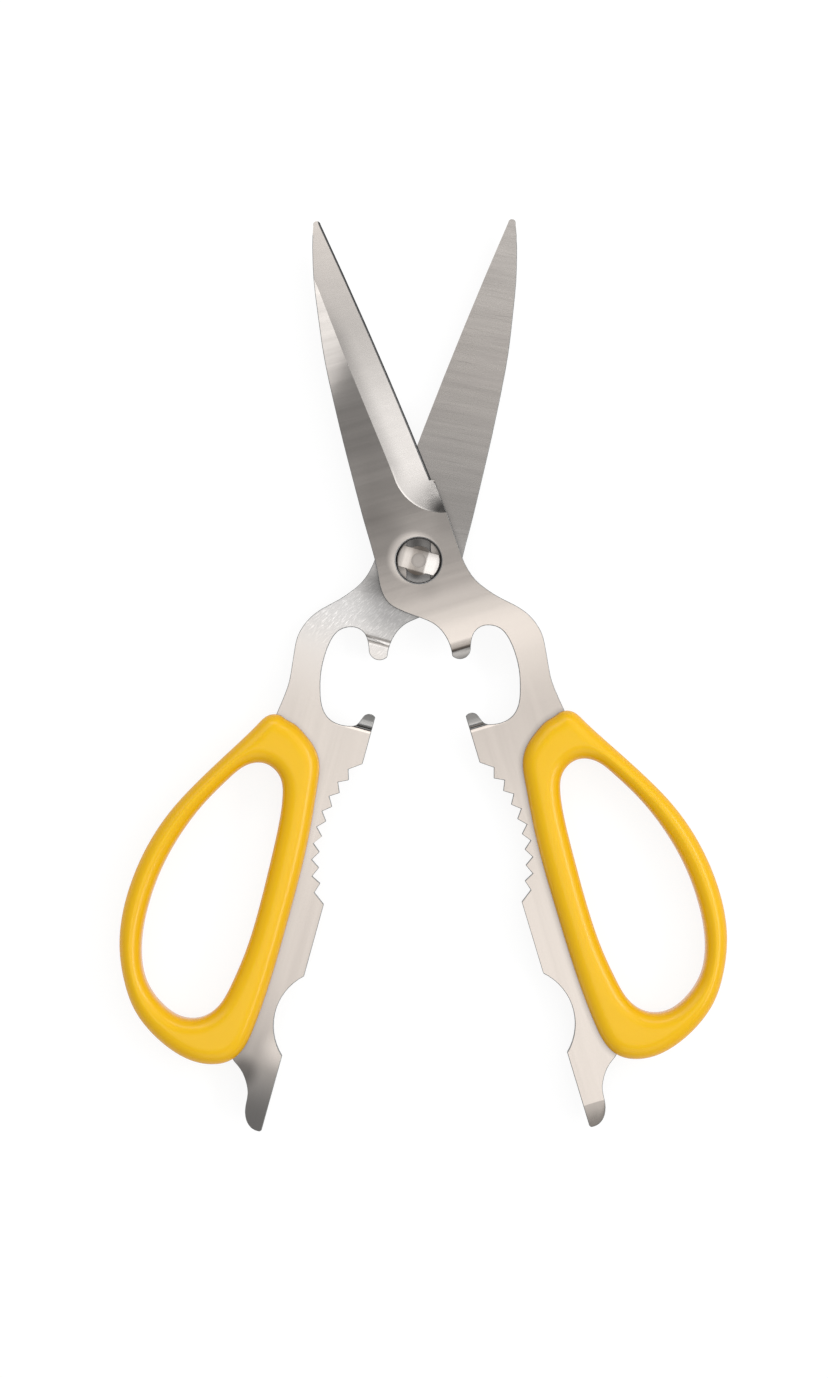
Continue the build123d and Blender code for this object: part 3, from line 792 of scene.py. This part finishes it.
# The grips
def loop_radius(points, angles):
    """The distance of a closed outline from the origin at each angle, on a smooth curve through its points.

    The tangent at a point is (u * b + v * a) / (a + b), where u and v are the directions of the chords before
    and after it, and a and b are their lengths. Each chord of length b gives the cubic
    p (2t^3 - 3t^2 + 1) + q (3t^2 - 2t^3) + b m (t^3 - 2t^2 + t) + b n (t^3 - t^2) with end tangents m and n.
    """
    p = points[np.argsort(np.arctan2(points[:, 1], points[:, 0]))]
    chord = np.roll(p, -1, 0) - p
    length = np.linalg.norm(chord, axis=1, keepdims=True)
    after, before = chord / length, np.roll(chord / length, 1, 0)
    tangent = (before * length + after * np.roll(length, 1, 0)) / (length + np.roll(length, 1, 0))
    t = np.linspace(0, 1, CURVE_STEPS, endpoint=False)[None, :, None]
    p, q, m, n, b = (a[:, None, :] for a in (p, np.roll(p, -1, 0), tangent, np.roll(tangent, -1, 0), length))
    dense = p * (2 * t ** 3 - 3 * t ** 2 + 1) + q * (3 * t ** 2 - 2 * t ** 3)
    dense = (dense + b * m * (t ** 3 - 2 * t ** 2 + t) + b * n * (t ** 3 - t ** 2)).reshape(-1, 2)
    angle = np.arctan2(dense[:, 1], dense[:, 0])
    order = np.argsort(angle)
    return np.interp(angles, angle[order], np.hypot(dense[order, 0], dense[order, 1]), period=2 * pi)


def rim_distance(flat, outline):
    """The distance from each point of each ray to an outline, sought on the outline's pieces near that ray.

    On a piece from a to a + v the nearest place to p is a + t * v, with t = (p - a) . v / v . v kept within 0
    and 1.
    """
    rays, steps = flat.shape[:2]
    near = (np.arange(rays)[:, None] + np.arange(-SEARCH_RAYS, SEARCH_RAYS + 1)[None, :]) % rays
    start, run = outline[near], (np.roll(outline, -1, 0) - outline)[near]
    found = np.empty((rays, steps))
    for step in range(steps):
        away = flat[:, step, None, :] - start
        share = np.clip((away * run).sum(2) / (run ** 2).sum(2), 0, 1)
        found[:, step] = np.sqrt(((away - share[:, :, None] * run) ** 2).sum(2).min(1))
    return found


def grip_outlines(node):
    """A CAD grip's inner and outer outlines, and the heights of its middle plane and its top.

    Each outline has one point on each ray from the finger opening's centre.
    """
    merged = merged_mesh(node)
    mesh = bpy.data.meshes.new("outline")
    merged.to_mesh(mesh)
    merged.free()
    points = read(mesh.vertices, "co", 3).astype(float)
    normals = read(mesh.vertices, "normal", 3)
    bpy.data.meshes.remove(mesh)
    low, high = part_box(node)
    rim = np.abs(points[:, 2] - (high.z - CAD_ROUND)) < CAD_TOLERANCE
    outline, facing = points[rim, :2], normals[rim, :2]
    outwards = ((outline - outline.mean(0)) * facing).sum(1) > 0
    centre = outline[~outwards].mean(0)
    angles = np.linspace(-pi, pi, GRIP_RAYS, endpoint=False)
    rays = np.stack([np.cos(angles), np.sin(angles)], 1)
    inner, outer = (
        centre + rays * loop_radius(outline[rim_side] - centre, angles)[:, None]
        for rim_side in (~outwards, outwards)
    )
    return inner, outer, (low.z + high.z) / 2, high.z


def grip_piece(name, node, body, plastic):
    """A grip loop: rays from the finger opening's centre cross it, and along each ray lies a rounded section.

    A point's height over the middle plane is wall + RIM_HEIGHT * (1 - (1 - d / RIM_WIDTH) ^ p) ^ (1 / p),
    with p = RIM_POWER. The top side is lowered by CROWN * (1 - d / CROWN_WIDTH) ^ 2 * d / RIM_WIDTH, which
    leaves a slight crown. The distance d to the rims is -k * ln(exp(-a / k) + exp(-b / k)), with
    k = RIM_BLEND: the smaller one of the distances a and b to the two rims, blended where they are alike.
    Both shares of d are kept within 0 and 1.
    """
    inner, outer, middle, top = grip_outlines(node)
    draft = (MOULD_DRAFT / np.linalg.norm(outer - inner, axis=1))[:, None]
    share = (1 - np.cos(pi * np.linspace(0, 1, GRIP_STEPS)))[None, :] / 2
    share = draft + share * (1 - 2 * draft)
    flat = inner[:, None, :] + share[:, :, None] * (outer - inner)[:, None, :]
    inside, outside = rim_distance(flat, inner), rim_distance(flat, outer)
    distance = -RIM_BLEND * np.log(np.exp(-inside / RIM_BLEND) + np.exp(-outside / RIM_BLEND))
    distance = np.maximum(distance, 0)
    bend = 1 - np.clip(distance / RIM_WIDTH, 0, 1)
    wall = top - middle - RIM_HEIGHT
    height = wall + RIM_HEIGHT * (1 - bend ** RIM_POWER) ** (1 / RIM_POWER)
    crown = CROWN * (1 - np.clip(distance / CROWN_WIDTH, 0, 1)) ** 2 * (1 - bend)

    upper = np.concatenate([flat, (middle + height - crown)[:, :, None]], 2)
    lower = np.concatenate([flat, (middle - height)[:, :, None]], 2)[:, ::-1]
    outer_wall, inner_wall = (np.insert(edge, 2, middle, axis=1)[:, None, :] for edge in (outer, inner))
    section = np.concatenate([upper, outer_wall, lower, inner_wall], 1)
    index = np.arange(section.shape[0] * section.shape[1]).reshape(section.shape[:2])
    step, ring = np.roll(index, -1, 0), np.roll(index, -1, 1)
    faces = np.stack([index, ring, np.roll(step, -1, 1), step], 2).reshape(-1, 4)
    mesh = bpy.data.meshes.new(name)
    mesh.from_pydata(section.reshape(-1, 3), [], faces)
    mesh.update()
    loop = bmesh.new()
    loop.from_mesh(mesh)
    bmesh.ops.recalc_face_normals(loop, faces=loop.faces)
    loop.to_mesh(mesh)
    loop.free()
    mesh.shade_smooth()
    mesh.materials.append(plastic)
    piece = new_object(name, mesh)
    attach(piece, body)
    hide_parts(node)


def pivot_finishes():
    """Gives the locking bar and the pivot pin, which stay as the CAD made them, their own steels."""
    # The bar's and the pin's greys and tones are painted light and shade
    bar = steel("turned steel", -1, plain(BAR_TONE, BAR_ACROSS_TONE), grey=0.95, roughness=0.22)
    pin = steel("peened steel", -1, plain(PIN_TONE) + patched((PEEN_HIGHLIGHT,)), grey=0.39, roughness=0.3)
    for node, finish in (("locking_bar", bar), ("pivot_pin", pin)):
        materials = frame["nodes"][node].data.materials
        materials.clear()
        materials.append(finish)


# The picture and the studio
def camera():
    """The camera straight above, so that the pivot falls on its pixel of the picture."""
    right = (PIVOT_PIXEL[0] - PICTURE_WIDTH / 2) / PIXELS_PER_MM * MM
    up = (PICTURE_HEIGHT / 2 - PIVOT_PIXEL[1]) / PIXELS_PER_MM * MM
    turn = -PICTURE_TURN
    data = bpy.data.cameras.new("camera")
    data.sensor_width = SENSOR_MM
    data.lens = SENSOR_MM * CAMERA_DISTANCE / (PICTURE_HEIGHT / PIXELS_PER_MM * MM)
    data.clip_start = CAMERA_NEAR
    data.clip_end = CAMERA_FAR
    view = new_object("camera", data)
    view.location = (
        PIVOT[0] - right * cos(turn) + up * sin(turn),
        PIVOT[1] - right * sin(turn) - up * cos(turn),
        PIVOT[2] + CAMERA_DISTANCE,
    )
    view.rotation_euler = (0, 0, turn)
    bpy.context.scene.camera = view


def panel(name, place, target, size, watts):
    """A soft white panel lamp that faces a point."""
    data = bpy.data.lights.new(name, "AREA")
    data.shape = "RECTANGLE"
    data.size, data.size_y = size
    data.energy = watts
    lamp = new_object(name, data)
    lamp.location = place
    lamp.rotation_euler = (Vector(target) - Vector(place)).to_track_quat("-Z", "Y").to_euler()


def even_light():
    """Even dim light from all round."""
    world = bpy.data.worlds.new("studio")
    world.use_nodes = True
    background = world.node_tree.nodes["Background"]
    background.inputs["Color"].default_value = WHITE
    background.inputs["Strength"].default_value = EVEN_LIGHT
    bpy.context.scene.world = world


def floor():
    """A pale floor under the grips. The picture sees it near white, and it keeps the shadows."""
    material, shader = new_material("pale floor")
    rays = shader.add("LightPath").outputs
    seen = shader.math("MAXIMUM", rays["Is Camera Ray"], rays["Is Glossy Ray"])
    seen = shader.math("MAXIMUM", seen, rays["Is Transmission Ray"])
    share = shader.math("MULTIPLY", seen, FLOOR_GLOW_SHARE)
    matt = shader.add("BsdfDiffuse", {"Color": FLOOR_COLOUR})
    glow = shader.add("Emission", {"Color": WHITE, "Strength": FLOOR_GLOW})
    surface = shader.add("MixShader", {0: share, 1: matt.outputs["BSDF"], 2: glow.outputs["Emission"]})
    shader.add("OutputMaterial", {"Surface": surface.outputs["Shader"]})
    corners = [
        (across * FLOOR_HALF, along * FLOOR_HALF, FLOOR_LEVEL)
        for across, along in ((-1, -1), (1, -1), (1, 1), (-1, 1))
    ]
    mesh = bpy.data.meshes.new("floor")
    mesh.from_pydata(corners, [], [(0, 1, 2, 3)])
    mesh.materials.append(material)
    new_object("floor", mesh)


camera()
yellow = moulded_plastic()
for side, name in ((1, "front"), (-1, "rear")):
    steel_piece(name + "_blade_steel", name + "_blade", name + "_half", side, half_finishes(name, side))
    grip_piece(name + "_grip_loop", name + "_grip", name + "_half", yellow)
pivot_finishes()
floor()
even_light()
for lamp in LAMPS:
    panel(*lamp)
bpy.context.scene.view_settings.view_transform = "Standard"
